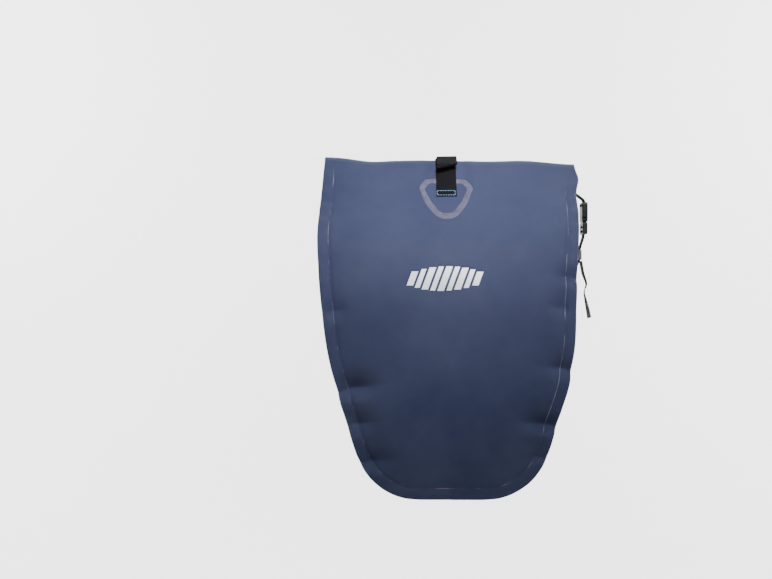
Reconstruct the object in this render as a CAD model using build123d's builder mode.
from build123d import *
import os
from math import asin, cos, degrees, radians, sin, tan

# Roll-top pannier bag for one side of a bicycle rack, in millimetres.
# X runs along the bicycle, Y points from the bag's front face towards the wheel, Z is up.
# The origin lies on the axis of the rack's top tube, midway between the two hooks.

os.makedirs("parts", exist_ok=True)

# --- Bag shell ---
BAG_WIDTH = 335.0  # across the welded rim, at the widest level
BAG_DEPTH = 147.0  # back panel to the fullest point of the front
BAG_DROP = 358.0  # rack tube down to the bottom edge
MOUTH_INSET = 5.5  # each side comes in this far at the rolled mouth
WAIST_INSET = 13.0  # and this far where the lower taper starts
FOOT_INSET = 63.5  # and this far at the bottom, before its corners are rounded
SHOULDER_Z = -15.0  # level of the widest place
WAIST_Z = -195.0
SHOULDER_R = 300.0
WAIST_R = 400.0
FOOT_R = 85.0
SHEET = 1.2  # coated fabric
FRONT_FLANGE = 14.0  # welded rim outside the front seam
BACK_FLANGE = 10.0
BACK_Y = -29.0  # outer face of the back panel
FOOT_TUCK = 8.0  # the front comes back this far at the bottom
FRONT_LEAN = 40.0  # degrees that the upper front leans back
KNEE_R = 200.0  # curve between the upright and the leaning front
MOUTH_DROP = 3.5  # the gusset ends this far below the roll
FRONT_RIM_Z = 60.0  # the front stops here, clear of the buckles that rise past it

# --- Rolled mouth ---
ROLL_R = 18.5
ROLL_Z = 54.0
ROLL_GAP = 0.4  # roll to the panels it lies between
ROLL_INSET = 2.0  # the roll ends this far inside the mouth's width
SLAT_W = 24.0
SLAT_T = 2.0
SLAT_GAP = 0.2

# --- Webbing and its buckles ---
WEB_W = 25.0
WEB_T = 1.4
LAYER_GAP = 0.3  # between layers of webbing
PATCH_T = 0.8
PATCH_CREST = 20.0  # half width of the patch's level top edge
PATCH_HALF = 36.0  # half width of the patch at its two shoulders
PATCH_HIP = 30.0  # half width where its sides turn in
PATCH_TOE = 10.0  # half width of its foot
PATCH_TOP_Z = 46.0
PATCH_SHOULDER_Z = 38.0
PATCH_HIP_Z = 16.0
PATCH_LOW_Z = -7.0
PATCH_CORNER_R = 6.0
STRAP_FOOT_Z = 23.5  # lower sewn edge of the strap on the patch
TAIL_HEM = 11.0  # the free tail ends this far below the fold
BUCKLE_W = 33.0
BUCKLE_T = 7.5
BUCKLE_ROUND = 1.6
SOCKET_CORNER = 3.0
PLUG_CORNER = 2.0
SOCKET_L = 26.0
CAVITY_L = 18.5
CAVITY_W = 27.6
CAVITY_T = 4.4
WINDOW_L = 10.0  # side openings where the prongs show
WINDOW_MID = 9.0  # from the mouth to the middle of a side opening
BAR_W = 2.4
STRAP_SLOT = 3.2
SLOT_SPARE = 1.0  # a slot is this much wider than its webbing
PLUG_L = 16.0
PLUG_T = 6.4
PLUG_GAP = 0.4  # plug shoulder to socket mouth
TONGUE_W = 6.0
TONGUE_L = 15.0
TONGUE_T = 3.4
PRONG_TAPER = 2.0  # a prong narrows by this towards its root and its tip
PRONG_STEP = 1.0
PRONG_RAMP = 3.0
PRONG_HEEL = 0.5
PRONG_IN = 8.0  # inner edge of a prong from the middle
PRONG_OUT = 13.4
PRONG_L = 15.5
PRONG_BUTTON = 2.6  # how far the button stands out of the prong

# --- Side straps ---
SIDE_MOUTH_Z = -8.0  # where plug and socket meet
RIGHT_BUCKLE_OUT = 30.5  # buckle's middle from the side wall; this side hangs slack
LEFT_BUCKLE_OUT = 6.8  # and this side is pulled snug
ADJUSTER_IN = 6.5  # the adjuster lies this much closer to the wall
ADJUSTER_Z = -51.5
ADJUSTER_L = 13.0
ADJUSTER_T = 4.6
ADJUSTER_SLOT = 2.6
ADJUSTER_W = 31.0
ANCHOR_TOP_Z = -112.0
ANCHOR_LOW_Z = -152.0
ANCHOR_W = 35.0
STRAP_BEND_R = 10.0

# --- Rack tube and hooks ---
TUBE_D = 10.0
SEAT_GAP = 0.1  # hook seat to tube
CLAW_BORE = 8.0
CLAW_WALL = 4.5
INSERT_GAP = 0.1
INSERT_LEG = 4.0
HOOK_SPACING = 144.0
HOOK_W = 26.0
HOOK_LOW_Z = -22.0
HOOK_TOP_Z = 12.0
PIVOT_Y = -5.5
PIVOT_Z = 18.0
EAR_R = 4.6
PIN_R = 2.0
PIN_GAP = 0.05
LEVER_T = 6.0
LEVER_GAP = 0.4
LEG_W = 4.2
NOSE_T = 3.5
NOSE_DROP = 1.5  # nose below the tube
NOSE_TIP_Y = -1.0
SPRING_L = 3.0
SPRING_R = 3.1
SPRING_WIRE = 0.35
SPRING_TURNS = 3
SCREW_R = 2.0
SCREW_GAP = 0.05
HEAD_R = 3.5
HEAD_T = 3.0
HEAD_GAP = 0.3
HOOK_SCREW_X = 9.0
HOOK_SCREW_Z = -16.0

# --- Carry handle ---
HANDLE_Y = -10.5
HANDLE_WEB_W = 15.0
HANDLE_TOP_Z = 50.0
HANDLE_FLAT = 52.0  # half length of its level middle
HANDLE_BEND_R = 12.0
EYE_R = 1.8
HEAD_PLATE_LOW_Z = 21.5
EYE_LOW_Z = 23.4
EYE_H = 3.0
EYE_BAR = 2.5
GRIP_HALF = 40.0
GRIP_W = 17.0
GRIP_H = 7.0

# --- Rails on the back ---
RAIL_LENGTH = 250.0
RAIL_LOW_Z = -24.0
RAIL_TOP_Z = 12.0
RAIL_T = 10.0
RAIL_GROOVE = 3.0
CAP_T = 3.0
RAIL_SCREW_XS = (-105.0, -35.0, 35.0, 105.0)
RAIL_SCREW_Z = -6.0
STIFFENER_T = 2.5
STIFFENER_INSET = 8.0
STIFFENER_TOP = 24.0
BACKING_T = 2.0
BACKING_MARGIN = 6.0
NUT_R = 4.0
NUT_T = 3.2
LOWER_RAIL_LENGTH = 150.0
LOWER_RAIL_Z = -250.0
LOWER_RAIL_H = 24.0
LOWER_RAIL_T = 8.0
TRACK_END = 12.0  # solid end of the lower rail beyond its track
TRACK_LIP = 3.0
TRACK_MOUTH = 8.0
TRACK_H = 14.0
TRACK_DEPTH = 6.5
LOWER_SCREW_IN = 5.0
SLIDER_L = 24.0
SLIDER_GAP = 0.35
BOSS_R = 9.0
BOSS_T = 3.6
STUD_R = 3.0
ARM_T = 7.5
ARM_L = 50.0
ARM_W = 18.0
LIP_T = 6.0
LIP_REACH = 15.0
CAP_SCREW_R = 6.0
CAP_SCREW_T = 2.4

# --- Small roundings and reliefs ---
REAR_TAB_BEND = 1.0
RAIL_ROUND = 1.2
GROOVE_IN = 5.0  # grooves in the rail's front face, from its long edges
GROOVE_DEPTH = 1.0
CAP_ROUND = 2.0
EDGE_EASE = 1.0
HEAD_CHAMFER = 0.8
DRIVE_SHARE = 0.8  # hexagonal recess, as a share of its shank's radius
EYE_WALL = 1.2
LEG_RISE = 2.0
NOSE_RAMP_W = 2.0
NOSE_RAMP_H = 1.5
NECK_HALF = 4.0
LOOP_BEND_R = 1.5
GRIP_CORNER = 3.18
GRIP_SPARE = 0.2
LOWER_CORNER = 4.0
SLIDER_CORNER = 2.0
ARM_ROUND = 1.5
CUT_SPARE = 0.01

# --- Rear fastening of the top strap ---
REAR_MOUTH_Z = 40.0
REAR_TAB_LOW_Z = -20.0

# Values that follow from the ones above.
LEAN = radians(FRONT_LEAN)
SHOULDER_HALF = BAG_WIDTH / 2
MOUTH_HALF = SHOULDER_HALF - MOUTH_INSET
WAIST_HALF = SHOULDER_HALF - WAIST_INSET
FOOT_HALF = SHOULDER_HALF - FOOT_INSET
OUTLINE_TOP = ROLL_Z + ROLL_R
FRONT_Y = BACK_Y - BAG_DEPTH
ROLL_Y = BACK_Y - SHEET - ROLL_GAP - ROLL_R
ROLL_HALF = MOUTH_HALF - ROLL_INSET
GUSSET_TOP = ROLL_Z - ROLL_R - MOUTH_DROP
SHELL_R = ROLL_R + ROLL_GAP + SHEET  # outer face of the shell, from the roll's axis
FRONT_TOP = (ROLL_Y - SHELL_R * cos(LEAN), ROLL_Z + SHELL_R * sin(LEAN))
KNEE = (FRONT_Y, FRONT_TOP[1] - (FRONT_TOP[0] - FRONT_Y) / tan(LEAN))
FRONT_FOOT = (FRONT_Y + FOOT_TUCK, -BAG_DROP)
SLOPE = Plane(
    origin=(0, FRONT_TOP[0], FRONT_TOP[1]), x_dir=(1, 0, 0), z_dir=(0, -cos(LEAN), sin(LEAN))
)
STRAP_R = SHELL_R + PATCH_T + WEB_T / 2  # middle of the strap, from the roll's axis
TAIL_R = STRAP_R + WEB_T + LAYER_GAP
RAIL_Y = BACK_Y + RAIL_T  # front face of the rail
CLAW_R = CLAW_BORE + CLAW_WALL
HOOK_SLOT = LEVER_T + SPRING_L + 3 * LEVER_GAP
LEVER_X = HOOK_SPACING / 2 - (SPRING_L + LEVER_GAP) / 2
SPRING_X = HOOK_SPACING / 2 + (LEVER_T + LEVER_GAP) / 2
NOSE_TOP_Z = -TUBE_D / 2 - NOSE_DROP
EYE_BAR_TOP = EYE_LOW_Z + EYE_H + EYE_BAR
REAR_BUCKLE_Y = BACK_Y + WEB_T + LAYER_GAP + BUCKLE_T / 2
STIFFENER_Y = BACK_Y - SHEET
BACKING_Y = STIFFENER_Y - STIFFENER_T
THROUGH = 400.0  # longer than any cut through the bag


def save(piece, name):
    """Name a finished piece and write its file."""
    piece.part.label = name
    export_step(piece.part, f"parts/{name}.step")


def bag_outline(inset):
    """Outline of the bag seen from the front, moved inwards by inset."""
    right = [
        (MOUTH_HALF, OUTLINE_TOP),
        (SHOULDER_HALF, SHOULDER_Z),
        (WAIST_HALF, WAIST_Z),
        (FOOT_HALF, -BAG_DROP),
    ]
    left = [(-x, z) for x, z in reversed(right)]
    radii = [SHOULDER_R, WAIST_R, FOOT_R, FOOT_R, WAIST_R, SHOULDER_R]
    with BuildSketch(Plane.XZ) as outline:
        with BuildLine():
            FilletPolyline(*right, *left, radius=radii)
            Line(left[-1], right[0])
        make_face()
        if inset > 0:
            offset(amount=-inset)
    return outline.sketch


def side_wall_x(z, inset):
    """Half width at level z, between shoulder and waist, of an outline moved in by inset."""
    run = (SHOULDER_HALF - WAIST_HALF) / (SHOULDER_Z - WAIST_Z)
    slant = (1 + run * run) ** 0.5
    return SHOULDER_HALF + run * (z - SHOULDER_Z) - inset * slant


def make_strap(plane, points, radii, width):
    """Flat webbing along a bent line; width lies along the plane's normal."""
    with BuildPart() as strap:
        with BuildSketch(plane):
            with BuildLine():
                FilletPolyline(*points, radius=radii)
            trace(line_width=WEB_T)
        extrude(amount=width / 2, both=True)
    return strap


# --- Front panel: leans back to the roll, with the welded rim all round ---
with BuildPart() as front_panel:
    with BuildSketch(Plane.YZ):
        with BuildLine():
            FilletPolyline(FRONT_TOP, KNEE, FRONT_FOOT, radius=KNEE_R)
            offset(amount=SHEET, side=Side.LEFT)
        make_face()
    extrude(amount=BAG_WIDTH, both=True)
    extrude(bag_outline(0), amount=THROUGH, both=True, mode=Mode.INTERSECT)
    split(bisect_by=Plane.XY.offset(FRONT_RIM_Z), keep=Keep.BOTTOM)
save(front_panel, "front_panel")

# --- Gusset: one band down one side, under the bottom and up the other side ---
with BuildPart() as gusset:
    extrude(bag_outline(FRONT_FLANGE), amount=THROUGH, both=True)
    extrude(bag_outline(FRONT_FLANGE + SHEET), amount=THROUGH, both=True, mode=Mode.SUBTRACT)
    with BuildSketch(Plane.YZ):
        with BuildLine():
            FilletPolyline(FRONT_TOP, KNEE, FRONT_FOOT, radius=KNEE_R)
            Polyline(FRONT_FOOT, (BACK_Y, -BAG_DROP), (BACK_Y, FRONT_TOP[1]), FRONT_TOP)
        make_face()
        offset(amount=-SHEET)
    extrude(amount=BAG_WIDTH, both=True, mode=Mode.INTERSECT)
    split(bisect_by=Plane.XY.offset(GUSSET_TOP), keep=Keep.BOTTOM)
save(gusset, "gusset")

# --- Back panel, pierced for the screws of both rails ---
LOWER_SCREW_X = LOWER_RAIL_LENGTH / 2 - LOWER_SCREW_IN
PANEL_SCREWS = [(x, RAIL_SCREW_Z) for x in RAIL_SCREW_XS]
PANEL_SCREWS += [(-LOWER_SCREW_X, LOWER_RAIL_Z), (LOWER_SCREW_X, LOWER_RAIL_Z)]

with BuildPart() as back_panel:
    extrude(bag_outline(FRONT_FLANGE - BACK_FLANGE), amount=THROUGH)
    split(bisect_by=Plane.XZ.offset(-BACK_Y), keep=Keep.TOP)
    split(bisect_by=Plane.XZ.offset(-BACK_Y + SHEET), keep=Keep.BOTTOM)
    split(bisect_by=Plane.XY.offset(ROLL_Z), keep=Keep.BOTTOM)
    with BuildSketch(Plane.XZ.offset(-BACK_Y)):
        with Locations(*PANEL_SCREWS):
            Circle(SCREW_R + SCREW_GAP)
    extrude(amount=SHEET, mode=Mode.SUBTRACT)
save(back_panel, "back_panel")

# --- Stiffening board inside the back panel ---
with BuildPart() as back_stiffener:
    extrude(bag_outline(FRONT_FLANGE + SHEET + STIFFENER_INSET), amount=THROUGH)
    split(bisect_by=Plane.XZ.offset(-STIFFENER_Y), keep=Keep.TOP)
    split(bisect_by=Plane.XZ.offset(-BACKING_Y), keep=Keep.BOTTOM)
    split(bisect_by=Plane.XY.offset(STIFFENER_TOP), keep=Keep.BOTTOM)
    with BuildSketch(Plane.XZ.offset(-STIFFENER_Y)):
        with Locations(*PANEL_SCREWS):
            Circle(SCREW_R + SCREW_GAP)
    extrude(amount=STIFFENER_T, mode=Mode.SUBTRACT)
save(back_stiffener, "back_stiffener")


def slope_at(z):
    """Distance up the leaning front, from its top edge, of a point at level z."""
    return (z - FRONT_TOP[1]) / cos(LEAN)


# --- Welded patch and the strap sewn to it ---
with BuildPart() as strap_patch:
    with BuildSketch(SLOPE):
        with BuildLine():
            FilletPolyline(
                (-PATCH_CREST, slope_at(PATCH_TOP_Z)),
                (PATCH_CREST, slope_at(PATCH_TOP_Z)),
                (PATCH_HALF, slope_at(PATCH_SHOULDER_Z)),
                (PATCH_HIP, slope_at(PATCH_HIP_Z)),
                (PATCH_TOE, slope_at(PATCH_LOW_Z)),
                (-PATCH_TOE, slope_at(PATCH_LOW_Z)),
                (-PATCH_HIP, slope_at(PATCH_HIP_Z)),
                (-PATCH_HALF, slope_at(PATCH_SHOULDER_Z)),
                radius=PATCH_CORNER_R,
                close=True,
            )
        make_face()
    extrude(amount=PATCH_T)
save(strap_patch, "strap_patch")

STRAP_SPLIT = slope_at(FRONT_RIM_Z)  # above this the strap goes with the roll
with BuildPart() as front_strap:
    with BuildSketch(SLOPE.offset(PATCH_T)):
        with Locations((0, (slope_at(STRAP_FOOT_Z) + STRAP_SPLIT) / 2)):
            Rectangle(WEB_W, STRAP_SPLIT - slope_at(STRAP_FOOT_Z))
    extrude(amount=WEB_T)
save(front_strap, "front_strap")

# --- Rolled mouth round its stiffening slat ---
with BuildPart() as roll:
    with BuildSketch(Plane.YZ):
        with Locations((ROLL_Y, ROLL_Z)):
            Circle(ROLL_R)
            Rectangle(SLAT_T + SLAT_GAP, SLAT_W + SLAT_GAP, mode=Mode.SUBTRACT)
    extrude(amount=ROLL_HALF, both=True)
save(roll, "roll")

with BuildPart() as closure_slat:
    with BuildSketch(Plane.YZ):
        with Locations((ROLL_Y, ROLL_Z)):
            Rectangle(SLAT_T, SLAT_W)
    extrude(amount=ROLL_HALF, both=True)
save(closure_slat, "closure_slat")

# --- Top strap: over the roll to the rear plug, and its tail back to the front ---
FOLD_ANGLE = 180.0 - FRONT_LEAN
REAR_PLUG_TOP = REAR_MOUTH_Z + PLUG_GAP + PLUG_L
REAR_ANGLE = degrees(asin((REAR_PLUG_TOP + WEB_T - ROLL_Z) / STRAP_R))

with BuildPart() as top_strap:
    with BuildSketch(Plane.YZ):
        with BuildLine():
            bend = CenterArc((ROLL_Y, ROLL_Z), STRAP_R, 90, FOLD_ANGLE - 90)
            Line(bend @ 1, bend @ 1 - (bend % 1) * (STRAP_SPLIT + LAYER_GAP))
        trace(line_width=WEB_T)
    extrude(amount=WEB_W / 2, both=True)
save(top_strap, "top_strap")

with BuildPart() as top_strap_back:
    with BuildSketch(Plane.YZ):
        with BuildLine():
            CenterArc((ROLL_Y, ROLL_Z), STRAP_R, REAR_ANGLE, 90 - REAR_ANGLE)
        trace(line_width=WEB_T)
    extrude(amount=WEB_W / 2, both=True)
save(top_strap_back, "top_strap_back")

with BuildPart() as strap_tail:
    with BuildSketch(Plane.YZ):
        with BuildLine():
            bend = CenterArc((ROLL_Y, ROLL_Z), TAIL_R, REAR_ANGLE, FOLD_ANGLE - REAR_ANGLE)
            Line(bend @ 1, bend @ 1 + (bend % 1) * TAIL_HEM)
        trace(line_width=WEB_T)
    extrude(amount=WEB_W / 2, both=True)
save(strap_tail, "strap_tail")


# --- Side-release buckle ---
# In the plane given, x lies across the webbing, y runs from socket to plug, z is the thickness
# and the origin is the middle of the socket's mouth.
def make_socket(plane):
    """Buckle half with a flat cavity, two side windows and a bar for the webbing."""
    with BuildPart() as socket:
        with BuildSketch(plane):
            with Locations((0, -SOCKET_L / 2)):
                RectangleRounded(BUCKLE_W, SOCKET_L, SOCKET_CORNER)
        extrude(amount=BUCKLE_T / 2, both=True)
        skins = socket.faces().sort_by(Axis(plane.origin, plane.z_dir))
        fillet(skins[0].edges() + skins[-1].edges(), BUCKLE_ROUND)
        with BuildSketch(plane):
            with Locations((0, -CAVITY_L / 2)):
                Rectangle(CAVITY_W, CAVITY_L)
            with Locations((0, -WINDOW_MID)):
                Rectangle(BUCKLE_W + SLOT_SPARE, WINDOW_L)
        extrude(amount=CAVITY_T / 2, both=True, mode=Mode.SUBTRACT)
        with BuildSketch(plane):
            with Locations((0, -SOCKET_L + BAR_W + STRAP_SLOT / 2)):
                Rectangle(WEB_W + SLOT_SPARE, STRAP_SLOT)
        extrude(amount=BUCKLE_T, both=True, mode=Mode.SUBTRACT)
    return socket


def make_plug(plane):
    """Buckle half with a guiding tongue and two slots that grip the webbing."""
    shoulder = PLUG_GAP + PLUG_L / 2
    slots = [PLUG_GAP + PLUG_L - BAR_W - STRAP_SLOT / 2]
    slots.append(slots[0] - STRAP_SLOT - BAR_W)
    with BuildPart() as plug:
        with BuildSketch(plane):
            with Locations((0, shoulder)):
                RectangleRounded(BUCKLE_W, PLUG_L, PLUG_CORNER)
        extrude(amount=PLUG_T / 2, both=True)
        skins = plug.faces().sort_by(Axis(plane.origin, plane.z_dir))
        fillet(skins[0].edges() + skins[-1].edges(), BUCKLE_ROUND / 2)
        with BuildSketch(plane):
            for slot in slots:
                with Locations((0, slot)):
                    Rectangle(WEB_W + SLOT_SPARE, STRAP_SLOT)
        extrude(amount=PLUG_T, both=True, mode=Mode.SUBTRACT)
        with BuildSketch(plane):
            with Locations((0, PLUG_GAP + (BAR_W - TONGUE_L) / 2)):
                Rectangle(TONGUE_W, TONGUE_L + BAR_W)
        extrude(amount=TONGUE_T / 2, both=True)
    return plug


def make_prongs(plane):
    """The two springy arms of the plug, with the buttons that show in the side windows."""
    window_low = -WINDOW_MID + WINDOW_L / 2
    window_high = -WINDOW_MID - WINDOW_L / 2
    with BuildPart() as prongs:
        with BuildSketch(plane):
            for side in (-1, 1):
                Polygon(
                    (side * PRONG_IN, PLUG_GAP),
                    (side * (PRONG_OUT - PRONG_TAPER), PLUG_GAP),
                    (side * PRONG_OUT, window_low - PRONG_STEP),
                    (side * (PRONG_OUT + PRONG_BUTTON), window_low - PRONG_RAMP),
                    (side * (PRONG_OUT + PRONG_BUTTON), window_high + PRONG_STEP),
                    (side * PRONG_OUT, window_high + PRONG_HEEL),
                    (side * (PRONG_OUT - PRONG_TAPER), -PRONG_L),
                    (side * (PRONG_IN + PRONG_STEP), -PRONG_L),
                    (side * PRONG_IN, -WINDOW_MID),
                    align=None,
                )
        extrude(amount=TONGUE_T / 2, both=True)
    return prongs


# --- Side straps: roll end, buckle, adjuster and anchor on the gusset, each side its own set ---
SIDES = (("left", -1, LEFT_BUCKLE_OUT), ("right", 1, RIGHT_BUCKLE_OUT))
WALL_X = side_wall_x(SIDE_MOUTH_Z, FRONT_FLANGE)
SIDE_PLANE = Plane(origin=(0, ROLL_Y, 0), x_dir=(1, 0, 0), z_dir=(0, -1, 0))
PLUG_END_Z = SIDE_MOUTH_Z - PLUG_GAP - PLUG_L

# The free tails, as steps outwards and down from the adjuster's lower end.
TAIL_STEPS = {
    "left": [(2.2, -1.5), (11.0, -15.0), (3.5, -36.0), (6.0, -64.0)],
    "right": [(2.4, -1.5), (5.5, -18.0), (10.5, -32.0), (6.8, -43.0), (11.5, -64.0), (14.0, -77.0)],
}
TAIL_BENDS = {"left": [14.0, 20.0], "right": [14.0, 8.0, 9.0, 30.0]}

for name, side, buckle_out in SIDES:
    buckle_x = WALL_X + buckle_out
    adjuster_x = buckle_x - ADJUSTER_IN
    face = Plane(
        origin=(side * buckle_x, ROLL_Y, SIDE_MOUTH_Z), x_dir=(0, -side, 0), z_dir=(side, 0, 0)
    )
    save(make_socket(face), f"{name}_socket")
    save(make_plug(face), f"{name}_plug")
    save(make_prongs(face), f"{name}_prongs")

    tab_x = ROLL_HALF + WEB_T / 2
    socket_end = SIDE_MOUTH_Z + SOCKET_L
    tab_points = [
        (side * tab_x, ROLL_Z + SLAT_W / 2),
        (side * tab_x, ROLL_Z - SLAT_W / 2),
        (side * buckle_x, socket_end + WEB_T / 2),
    ]
    save(make_strap(SIDE_PLANE, tab_points, STRAP_BEND_R, WEB_W), f"{name}_end_tab")

    sewn_x = [
        side_wall_x(z, FRONT_FLANGE - PATCH_T - WEB_T / 2) for z in (ANCHOR_TOP_Z, ANCHOR_LOW_Z)
    ]
    strap_points = [
        (side * buckle_x, PLUG_END_Z - WEB_T / 2),
        (side * adjuster_x, ADJUSTER_Z + ADJUSTER_L / 2),
        (side * adjuster_x, ADJUSTER_Z - ADJUSTER_L / 2),
        (side * sewn_x[0], ANCHOR_TOP_Z),
        (side * sewn_x[1], ANCHOR_LOW_Z),
    ]
    save(make_strap(SIDE_PLANE, strap_points, STRAP_BEND_R, WEB_W), f"{name}_side_strap")

    with BuildPart() as adjuster:
        with BuildSketch(Plane.XY.offset(ADJUSTER_Z)):
            with Locations((side * adjuster_x, ROLL_Y)):
                RectangleRounded(ADJUSTER_T, ADJUSTER_W, ADJUSTER_T / 3)
                Rectangle(ADJUSTER_SLOT, WEB_W + SLOT_SPARE, mode=Mode.SUBTRACT)
        extrude(amount=ADJUSTER_L / 2, both=True)
    save(adjuster, f"{name}_adjuster")

    tail_top = ADJUSTER_Z - ADJUSTER_L / 2
    tail_points = [(side * (adjuster_x + x), tail_top + z) for x, z in TAIL_STEPS[name]]
    save(make_strap(SIDE_PLANE, tail_points, TAIL_BENDS[name], WEB_W), f"{name}_strap_tail")

    with BuildPart() as anchor:
        extrude(bag_outline(FRONT_FLANGE - PATCH_T), amount=THROUGH, both=True)
        extrude(bag_outline(FRONT_FLANGE), amount=THROUGH, both=True, mode=Mode.SUBTRACT)
        with BuildSketch(Plane.YZ):
            with Locations((ROLL_Y, (ANCHOR_TOP_Z + ANCHOR_LOW_Z) / 2)):
                height = ANCHOR_TOP_Z - ANCHOR_LOW_Z + 2 * STRAP_SLOT
                RectangleRounded(ANCHOR_W, height, PATCH_CORNER_R / 2)
        extrude(amount=side * BAG_WIDTH, mode=Mode.INTERSECT)
    save(anchor, f"{name}_strap_anchor")

# --- Rear fastening of the top strap, above the rail ---
REAR_FACE = Plane(origin=(0, REAR_BUCKLE_Y, REAR_MOUTH_Z), x_dir=(-1, 0, 0), z_dir=(0, 1, 0))
save(make_socket(REAR_FACE), "rear_socket")
save(make_plug(REAR_FACE), "rear_plug")
save(make_prongs(REAR_FACE), "rear_prongs")

REAR_SLOT_Z = REAR_MOUTH_Z - SOCKET_L + BAR_W + STRAP_SLOT / 2
TAB_Y = BACK_Y + WEB_T / 2
rear_tab = make_strap(
    Plane.YZ,
    [(TAB_Y, REAR_TAB_LOW_Z), (TAB_Y, REAR_SLOT_Z), (REAR_BUCKLE_Y + BUCKLE_T / 2, REAR_SLOT_Z)],
    REAR_TAB_BEND,
    WEB_W,
)
save(rear_tab, "rear_tab")

# --- Top rail, grooved along its face and relieved at the back for the strap's tab ---
with BuildPart() as top_rail:
    rail_mid = (RAIL_LOW_Z + RAIL_TOP_Z) / 2
    rail_height = RAIL_TOP_Z - RAIL_LOW_Z
    with BuildSketch(Plane.YZ):
        with Locations((BACK_Y + RAIL_T / 2, rail_mid)):
            RectangleRounded(RAIL_T, rail_height, RAIL_ROUND)
        with Locations((RAIL_Y, RAIL_TOP_Z - GROOVE_IN), (RAIL_Y, RAIL_LOW_Z + GROOVE_IN)):
            Rectangle(2 * GROOVE_DEPTH, RAIL_GROOVE, mode=Mode.SUBTRACT)
    extrude(amount=RAIL_LENGTH / 2, both=True)
    with BuildSketch(Plane.XY.offset(rail_mid)):
        with Locations((0, BACK_Y)):
            Rectangle(WEB_W + SLOT_SPARE, 2 * (WEB_T + LAYER_GAP))
    extrude(amount=rail_height, both=True, mode=Mode.SUBTRACT)
    with BuildSketch(Plane.XZ.offset(-RAIL_Y)):
        with Locations(*PANEL_SCREWS[: len(RAIL_SCREW_XS)]):
            Circle(SCREW_R + SCREW_GAP)
        for middle in (-HOOK_SPACING / 2, HOOK_SPACING / 2):
            for step in (-HOOK_SCREW_X, HOOK_SCREW_X):
                with Locations((middle + step, HOOK_SCREW_Z)):
                    Circle(SCREW_R + SCREW_GAP)
    extrude(amount=RAIL_T, mode=Mode.SUBTRACT)
save(top_rail, "top_rail")

with BuildPart() as rail_end_caps:
    with BuildSketch(Plane.YZ.offset(RAIL_LENGTH / 2)):
        with Locations((BACK_Y + RAIL_T / 2, rail_mid)):
            RectangleRounded(RAIL_T, rail_height, CAP_ROUND)
    extrude(amount=CAP_T)
    fillet(rail_end_caps.faces().sort_by(Axis.X)[-1].edges(), EDGE_EASE)
    mirror(about=Plane.YZ)
save(rail_end_caps, "rail_end_caps")


def make_screws(places, head_y, tip_y):
    """Round-headed screws pointing from the rack side towards the bag."""
    with BuildPart() as screws:
        with BuildSketch(Plane.XZ.offset(-head_y)):
            with Locations(*places):
                Circle(SCREW_R)
        extrude(amount=head_y - tip_y)
        with BuildSketch(Plane.XZ.offset(-head_y)):
            with Locations(*places):
                Circle(HEAD_R)
        extrude(amount=-HEAD_T)
        tops = screws.faces().group_by(Axis.Y)[-1]
        chamfer(tops.edges(), HEAD_CHAMFER)
        with BuildSketch(Plane.XZ.offset(-head_y - HEAD_T)):
            with Locations(*places):
                RegularPolygon(SCREW_R * DRIVE_SHARE, 6)
        extrude(amount=HEAD_T / 2, mode=Mode.SUBTRACT)
    return screws


def make_nuts(places, seat_y):
    """Hexagon nuts on the inner ends of the screws."""
    with BuildPart() as nuts:
        with BuildSketch(Plane.XZ.offset(-seat_y)):
            with Locations(*places):
                RegularPolygon(NUT_R, 6)
                Circle(SCREW_R + SCREW_GAP, mode=Mode.SUBTRACT)
        extrude(amount=NUT_T)
    return nuts


RAIL_SCREWS = PANEL_SCREWS[: len(RAIL_SCREW_XS)]
LOWER_SCREWS = PANEL_SCREWS[len(RAIL_SCREW_XS) :]
HOOK_SCREWS = [
    (middle + step, HOOK_SCREW_Z)
    for middle in (-HOOK_SPACING / 2, HOOK_SPACING / 2)
    for step in (-HOOK_SCREW_X, HOOK_SCREW_X)
]
NUT_END = BACKING_Y - BACKING_T - NUT_T

save(make_screws(RAIL_SCREWS, RAIL_Y, NUT_END), "rail_screws")
save(make_nuts(RAIL_SCREWS, BACKING_Y - BACKING_T), "rail_nuts")

with BuildPart() as rail_backing_plate:
    with BuildSketch(Plane.XZ.offset(-BACKING_Y)):
        with Locations((0, RAIL_SCREW_Z)):
            reach = 2 * (max(RAIL_SCREW_XS) + NUT_R + BACKING_MARGIN)
            RectangleRounded(reach, 2 * (NUT_R + BACKING_MARGIN), BACKING_MARGIN)
        with Locations(*RAIL_SCREWS):
            Circle(SCREW_R + SCREW_GAP, mode=Mode.SUBTRACT)
    extrude(amount=BACKING_T)
save(rail_backing_plate, "rail_backing_plate")


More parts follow.
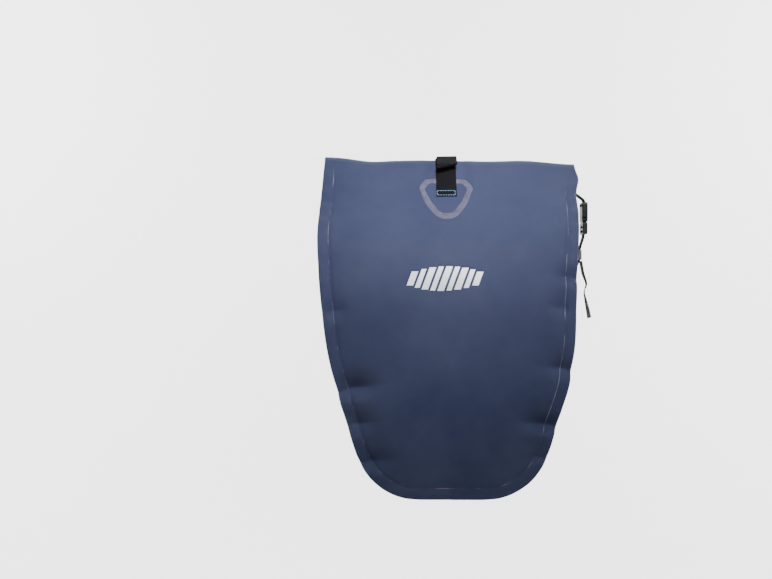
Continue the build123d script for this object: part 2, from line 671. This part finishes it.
# --- Hooks that clasp the rack tube ---
def make_hook(x):
    """Claw open downwards, with a slotted back for the latch lever and ears for its pin."""
    block_mid = ((RAIL_Y - CLAW_BORE) / 2, (HOOK_LOW_Z + HOOK_TOP_Z) / 2)
    section = Plane.YZ.offset(x)
    with BuildPart() as hook:
        with BuildSketch(section):
            Circle(CLAW_R)
            with Locations(block_mid):
                Rectangle(-CLAW_BORE - RAIL_Y, HOOK_TOP_Z - HOOK_LOW_Z)
            with Locations((PIVOT_Y, PIVOT_Z)):
                Circle(EAR_R)
            Polygon(
                (RAIL_Y, 0),
                (RAIL_Y, HOOK_TOP_Z),
                (PIVOT_Y - EAR_R, PIVOT_Z),
                (PIVOT_Y + EAR_R, PIVOT_Z),
                (0, 0),
                align=None,
            )
            Circle(CLAW_BORE, mode=Mode.SUBTRACT)
            with Locations((0, -THROUGH / 2)):
                Rectangle(2 * CLAW_BORE, THROUGH, mode=Mode.SUBTRACT)
            with Locations((CLAW_BORE + CLAW_WALL, HOOK_LOW_Z)):
                Rectangle(2 * CLAW_WALL, -2 * HOOK_LOW_Z - CLAW_BORE, mode=Mode.SUBTRACT)
        extrude(amount=HOOK_W / 2, both=True)
        with BuildSketch(section):
            with Locations(((RAIL_Y - CLAW_BORE) / 2, 0)):
                Rectangle(-CLAW_BORE - RAIL_Y, THROUGH)
            with Locations((PIVOT_Y, PIVOT_Z + THROUGH / 2 - EAR_R)):
                Rectangle(-4 * PIVOT_Y, THROUGH)
        extrude(amount=HOOK_SLOT / 2, both=True, mode=Mode.SUBTRACT)
        with BuildSketch(section):
            with Locations((PIVOT_Y, PIVOT_Z)):
                Circle(PIN_R + PIN_GAP)
        extrude(amount=HOOK_W, both=True, mode=Mode.SUBTRACT)
        screws = [(x - HOOK_SCREW_X, HOOK_SCREW_Z), (x + HOOK_SCREW_X, HOOK_SCREW_Z)]
        with BuildSketch(Plane.XZ.offset(CLAW_BORE)):
            with Locations(*screws):
                Circle(SCREW_R + SCREW_GAP)
        extrude(amount=-RAIL_Y - CLAW_BORE, mode=Mode.SUBTRACT)
        with BuildSketch(Plane.XZ.offset(CLAW_BORE)):
            with Locations(*screws):
                Circle(HEAD_R + HEAD_GAP)
        extrude(amount=HEAD_T + HEAD_GAP, mode=Mode.SUBTRACT)
    return hook


def make_insert(x):
    """Soft liner between claw and tube, open downwards."""
    with BuildPart() as insert:
        with BuildSketch(Plane.YZ.offset(x)):
            outer = CLAW_BORE - INSERT_GAP
            seat = TUBE_D / 2 + SEAT_GAP
            Circle(outer)
            with Locations((0, -INSERT_LEG - outer)):
                Rectangle(2 * outer, 2 * outer, mode=Mode.SUBTRACT)
            with Locations((0, -INSERT_LEG / 2)):
                Rectangle(2 * outer, INSERT_LEG)
            Circle(seat, mode=Mode.SUBTRACT)
            with Locations((0, -outer)):
                Rectangle(2 * seat, 2 * outer, mode=Mode.SUBTRACT)
        extrude(amount=HOOK_W / 2, both=True)
    return insert


def make_lever(x):
    """Latch: a leg down the hook's slot, a nose under the tube and an eye for the handle."""
    leg_y = -CLAW_BORE - LEVER_GAP
    nose_low = NOSE_TOP_Z - NOSE_T
    half_eye = HANDLE_WEB_W / 2 + LAYER_GAP
    half_head = half_eye + EYE_WALL
    with BuildPart() as lever:
        with BuildSketch(Plane.YZ.offset(x)):
            with Locations((PIVOT_Y, PIVOT_Z)):
                Circle(EAR_R - LEVER_GAP)
            Polygon(
                (PIVOT_Y, PIVOT_Z + LEG_RISE),
                (leg_y - LEG_W, HOOK_TOP_Z),
                (leg_y - LEG_W, nose_low),
                (NOSE_TIP_Y - NOSE_RAMP_W, nose_low),
                (NOSE_TIP_Y, nose_low + NOSE_RAMP_H),
                (NOSE_TIP_Y, NOSE_TOP_Z),
                (leg_y, NOSE_TOP_Z),
                (leg_y, HOOK_TOP_Z + EDGE_EASE),
                align=None,
            )
            Polygon(
                (PIVOT_Y - NECK_HALF, PIVOT_Z),
                (PIVOT_Y + NECK_HALF, PIVOT_Z),
                (HANDLE_Y + half_head - EDGE_EASE, HEAD_PLATE_LOW_Z + EDGE_EASE),
                (HANDLE_Y - half_head + EDGE_EASE, HEAD_PLATE_LOW_Z + EDGE_EASE),
                align=None,
            )
            head_mid = (HEAD_PLATE_LOW_Z + EYE_BAR_TOP) / 2
            with Locations((HANDLE_Y, head_mid)):
                RectangleRounded(2 * half_head, EYE_BAR_TOP - HEAD_PLATE_LOW_Z, EYE_WALL)
            with Locations((HANDLE_Y, EYE_LOW_Z + EYE_H / 2)):
                Rectangle(2 * half_eye, EYE_H, mode=Mode.SUBTRACT)
            with Locations((PIVOT_Y, PIVOT_Z)):
                Circle(PIN_R + PIN_GAP, mode=Mode.SUBTRACT)
        extrude(amount=LEVER_T / 2, both=True)
    return lever


def make_pin(x):
    """Pivot pin, flush with the hook's two ears."""
    with BuildPart() as pin:
        with BuildSketch(Plane.YZ.offset(x)):
            with Locations((PIVOT_Y, PIVOT_Z)):
                Circle(PIN_R)
        extrude(amount=HOOK_W / 2, both=True)
    return pin


def make_spring(x):
    """Coil round the pin that turns the lever back under the tube."""
    pitch = (SPRING_L - 2 * SPRING_WIRE) / SPRING_TURNS
    first = (x - SPRING_L / 2 + SPRING_WIRE, PIVOT_Y, PIVOT_Z)
    with BuildPart() as spring:
        with BuildLine() as coil:
            Helix(pitch, pitch * SPRING_TURNS, SPRING_R, center=first, direction=(1, 0, 0))
        with BuildSketch(Plane(origin=coil.line @ 0, z_dir=coil.line % 0)):
            Circle(SPRING_WIRE)
        sweep(is_frenet=True)
    return spring


for name, side in (("left", -1), ("right", 1)):
    hook_x = side * HOOK_SPACING / 2
    save(make_hook(hook_x), f"{name}_hook")
    save(make_insert(hook_x), f"{name}_hook_insert")
    save(make_pin(hook_x), f"{name}_pivot_pin")
    save(make_lever(side * LEVER_X), f"{name}_lever")
    save(make_spring(side * SPRING_X), f"{name}_lever_spring")

save(make_screws(HOOK_SCREWS, -CLAW_BORE - HEAD_T - HEAD_GAP / 2, BACK_Y + EDGE_EASE), "hook_screws")

# --- Carry handle: webbing looped through both lever eyes, with a grip ---
EYE_PATH_LOW = EYE_LOW_Z + EYE_H - LAYER_GAP - WEB_T / 2
EYE_PATH_TOP = EYE_BAR_TOP + LAYER_GAP + WEB_T / 2
EYE_OUT = LEVER_X + LEVER_T / 2 + LAYER_GAP + WEB_T / 2
HANDLE_SIDE = [
    (LEVER_X - LEVER_T, EYE_PATH_LOW),
    (EYE_OUT, EYE_PATH_LOW),
    (EYE_OUT, EYE_PATH_TOP),
    (LEVER_X - LEVER_T / 2, EYE_PATH_TOP),
    (HANDLE_FLAT, HANDLE_TOP_Z),
]
HANDLE_RADII = [LOOP_BEND_R, LOOP_BEND_R, EYE_R, HANDLE_BEND_R]
handle = make_strap(
    Plane(origin=(0, HANDLE_Y, 0), x_dir=(1, 0, 0), z_dir=(0, -1, 0)),
    HANDLE_SIDE + [(-x, z) for x, z in reversed(HANDLE_SIDE)],
    HANDLE_RADII + HANDLE_RADII[::-1],
    HANDLE_WEB_W,
)
save(handle, "handle_webbing")

with BuildPart() as handle_grip:
    with BuildSketch(Plane.YZ):
        with Locations((HANDLE_Y, HANDLE_TOP_Z)):
            RectangleRounded(GRIP_W, GRIP_H, GRIP_CORNER)
            Rectangle(HANDLE_WEB_W + GRIP_SPARE, WEB_T + GRIP_SPARE, mode=Mode.SUBTRACT)
    extrude(amount=GRIP_HALF, both=True)
save(handle_grip, "handle_grip")

# --- Lower rail with a track open towards the wheel ---
LOWER_FACE_Y = BACK_Y + LOWER_RAIL_T
with BuildPart() as lower_rail:
    with BuildSketch(Plane.XZ.offset(-LOWER_FACE_Y)):
        with Locations((0, LOWER_RAIL_Z)):
            RectangleRounded(LOWER_RAIL_LENGTH, LOWER_RAIL_H, LOWER_CORNER)
    extrude(amount=LOWER_RAIL_T)
    chamfer(lower_rail.faces().sort_by(Axis.Y)[-1].edges(), EDGE_EASE)
    with BuildSketch(Plane.YZ):
        with Locations((LOWER_FACE_Y - TRACK_LIP / 2, LOWER_RAIL_Z)):
            Rectangle(TRACK_LIP + CUT_SPARE, TRACK_MOUTH)
        with Locations((LOWER_FACE_Y - (TRACK_LIP + TRACK_DEPTH) / 2, LOWER_RAIL_Z)):
            Rectangle(TRACK_DEPTH - TRACK_LIP, TRACK_H)
    extrude(amount=LOWER_RAIL_LENGTH / 2 - TRACK_END, both=True, mode=Mode.SUBTRACT)
    with BuildSketch(Plane.XZ.offset(-LOWER_FACE_Y)):
        with Locations(*LOWER_SCREWS):
            Circle(SCREW_R + SCREW_GAP)
    extrude(amount=LOWER_RAIL_T, mode=Mode.SUBTRACT)
save(lower_rail, "lower_rail")

save(make_screws(LOWER_SCREWS, LOWER_FACE_Y, BACKING_Y - NUT_T), "lower_rail_screws")
save(make_nuts(LOWER_SCREWS, BACKING_Y), "lower_rail_nuts")

# --- Anchor that reaches behind the rack's strut ---
BOSS_Y = LOWER_FACE_Y + SLIDER_GAP
ARM_BACK_Y = BOSS_Y + BOSS_T + SLIDER_GAP
with BuildPart() as anchor_slider:
    foot_y = LOWER_FACE_Y - TRACK_LIP - SLIDER_GAP
    foot_t = TRACK_DEPTH - TRACK_LIP - 2 * SLIDER_GAP
    with BuildSketch(Plane.XZ.offset(-foot_y)):
        with Locations((0, LOWER_RAIL_Z)):
            RectangleRounded(SLIDER_L, TRACK_H - 2 * SLIDER_GAP, SLIDER_CORNER)
    extrude(amount=foot_t)
    with BuildSketch(Plane.XZ.offset(-foot_y)):
        with Locations((0, LOWER_RAIL_Z)):
            Rectangle(SLIDER_L - 2 * SLIDER_CORNER, TRACK_MOUTH - 2 * SLIDER_GAP)
    extrude(amount=foot_y - BOSS_Y - BOSS_T / 2)
    with BuildSketch(Plane.XZ.offset(-BOSS_Y)):
        with Locations((0, LOWER_RAIL_Z)):
            Circle(BOSS_R)
    extrude(amount=-BOSS_T)
    with BuildSketch(Plane.XZ.offset(-BOSS_Y)):
        with Locations((0, LOWER_RAIL_Z)):
            Circle(STUD_R)
    extrude(amount=-(ARM_BACK_Y - BOSS_Y + ARM_T + SLIDER_GAP))
save(anchor_slider, "anchor_slider")

with BuildPart() as anchor_arm:
    arm_end = LOWER_RAIL_Z - ARM_L
    with BuildSketch(Plane.XZ.offset(-ARM_BACK_Y)):
        with Locations((0, LOWER_RAIL_Z)):
            Circle(ARM_W / 2)
        Polygon(
            (-ARM_W / 2, LOWER_RAIL_Z),
            (ARM_W / 2, LOWER_RAIL_Z),
            (ARM_W / 3, arm_end + LIP_T),
            (ARM_W / 3, arm_end),
            (-ARM_W / 3, arm_end),
            (-ARM_W / 3, arm_end + LIP_T),
            align=None,
        )
    extrude(amount=-ARM_T)
    with BuildSketch(Plane.XZ.offset(-ARM_BACK_Y - ARM_T)):
        with Locations((0, arm_end + LIP_T / 2)):
            Rectangle(2 * ARM_W / 3, LIP_T)
    extrude(amount=-LIP_REACH)
    fillet(anchor_arm.faces().sort_by(Axis.Y)[-1].edges(), ARM_ROUND)
    with BuildSketch(Plane.XZ.offset(-ARM_BACK_Y)):
        with Locations((0, LOWER_RAIL_Z)):
            Circle(STUD_R + PIN_GAP)
    extrude(amount=-ARM_T, mode=Mode.SUBTRACT)
save(anchor_arm, "anchor_arm")

with BuildPart() as anchor_screw:
    screw_y = ARM_BACK_Y + ARM_T + SLIDER_GAP
    with BuildSketch(Plane.XZ.offset(-screw_y)):
        with Locations((0, LOWER_RAIL_Z)):
            Circle(CAP_SCREW_R)
    extrude(amount=-CAP_SCREW_T)
    chamfer(anchor_screw.faces().sort_by(Axis.Y)[-1].edges(), HEAD_CHAMFER)
    with BuildSketch(Plane.XZ.offset(-screw_y - CAP_SCREW_T)):
        with Locations((0, LOWER_RAIL_Z)):
            RegularPolygon(STUD_R * DRIVE_SHARE, 6)
    extrude(amount=CAP_SCREW_T / 2, mode=Mode.SUBTRACT)
save(anchor_screw, "anchor_screw")
